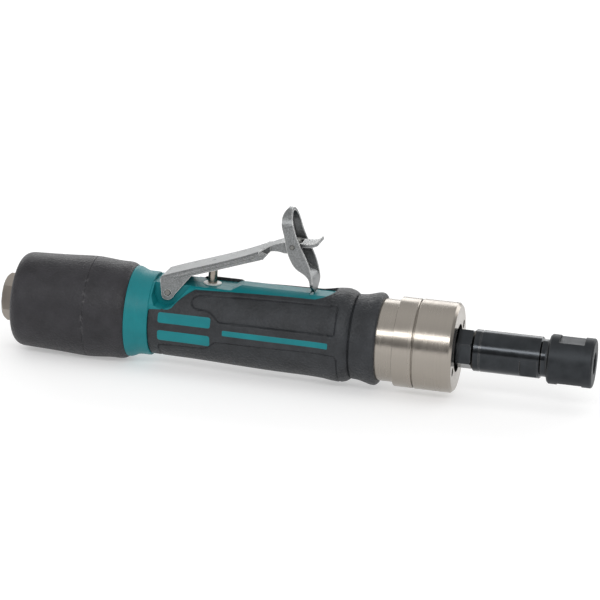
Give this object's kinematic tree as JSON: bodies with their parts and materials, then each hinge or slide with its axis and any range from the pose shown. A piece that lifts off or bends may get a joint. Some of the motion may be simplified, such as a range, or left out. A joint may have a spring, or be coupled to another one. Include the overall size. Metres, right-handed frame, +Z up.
{
  "type": "die grinder",
  "caption": "Straight lever-throttle air die grinder with rubber grip, steel front end, long collet body and a lock-off lever.",
  "frame": {"origin": "on the spindle's axis, in the front face of the collet nut, where a tool's shank enters", "axes": "+X along the spindle's axis, out of the collet; +Z up, towards the throttle lever; Y across the lever"},
  "size_m": [0.2739, 0.0462, 0.08],
  "materials": {
    "teal_composite": "moulded glass-filled nylon, fine texture, semi-gloss",
    "boot_rubber": "matt moulded rubber",
    "grip_rubber": "pebbled over-moulded rubber",
    "front_steel": "turned stainless steel, ring-brushed",
    "black_oxide": "black oxide over turned steel, oiled",
    "lever_steel": "stamped steel, satin nickel plating",
    "inlet_steel": "turned steel, dulled",
    "bearing_steel": "ground bearing steel",
    "spring_steel": "hard-drawn wire",
    "motor_iron": "ground cast iron",
    "nylon_white": "turned nylon",
    "seal_rubber": "nitrile rubber",
    "blade_phenolic": "fabric-filled phenolic",
    "grey_felt": "pressed felt",
    "gasket_fibre": "fibre gasket sheet"
  },
  "bodies": {
    "housing": {"inlet_bushing": "inlet_steel", "inlet_screen": "bearing_steel", "exhaust_boot": "boot_rubber", "exhaust_felt": "grey_felt", "housing": "teal_composite", "grip_sleeve": "grip_rubber", "front_collar": "grip_rubber", "motor_sleeve": "front_steel", "front_cap": "front_steel", "dust_seal": "grey_felt", "preload_washer": "spring_steel", "front_bearing_outer": "bearing_steel", "front_plate": "motor_iron", "motor_cylinder": "motor_iron", "rear_plate": "motor_iron", "rear_bearing_outer": "bearing_steel", "motor_dowel": "bearing_steel", "plate_gasket": "gasket_fibre", "stem_bushing": "nylon_white", "stem_o_ring": "seal_rubber", "valve_seat": "nylon_white", "valve_spring": "spring_steel", "lever_pin": "spring_steel"},
    "spindle": {"spindle": "black_oxide", "rotor": "motor_iron", "rotor_blades": "blade_phenolic", "front_bearing_inner": "bearing_steel", "rear_bearing_inner": "bearing_steel", "bearing_clip": "spring_steel", "collet_body": "black_oxide", "collet": "bearing_steel", "front_bearing_balls": "bearing_steel", "front_bearing_cage": "blade_phenolic", "rear_bearing_balls": "bearing_steel", "rear_bearing_cage": "blade_phenolic"},
    "nut": {"collet_nut": "black_oxide"},
    "throttle_lever": {"throttle_lever": "lever_steel", "lock_pin": "spring_steel", "lock_spring": "spring_steel"},
    "lock_lever": {"lock_lever": "lever_steel"},
    "valve": {"valve_stem": "bearing_steel", "valve_poppet": "seal_rubber"}
  },
  "joints": [
    {"name": "spindle_spin", "type": "hinge", "parent": "housing", "child": "spindle", "pos_m": [0, 0, 0], "axis": [1, 0, 0], "continuous": true},
    {"name": "nut_turn", "type": "hinge", "parent": "spindle", "child": "nut", "pos_m": [-0.01, 0, 0], "axis": [1, 0, 0], "range_deg": [0, 180]},
    {"name": "throttle_press", "type": "hinge", "parent": "housing", "child": "throttle_lever", "pos_m": [-0.1944, 0, 0.0131], "axis": [0, 1, 0], "range_deg": [0, 10.5], "stiffness_Nm_per_rad": 1.2, "springref_deg": -14.32},
    {"name": "lock_swing", "type": "hinge", "parent": "throttle_lever", "child": "lock_lever", "pos_m": [-0.1381, 0, 0.04035], "axis": [0, -1, 0], "range_deg": [0, 70]},
    {"name": "valve_stroke", "type": "slide", "parent": "housing", "child": "valve", "axis": [0, 0, -1], "range_m": [0, 0.0043], "deforming": ["valve_spring"]}
  ],
  "couplings": [
    {"joint": "lock_swing", "follows": "throttle_press", "ratio": 6.6},
    {"joint": "valve_stroke", "follows": "throttle_press", "m_per_rad": 0.0221}
  ]
}
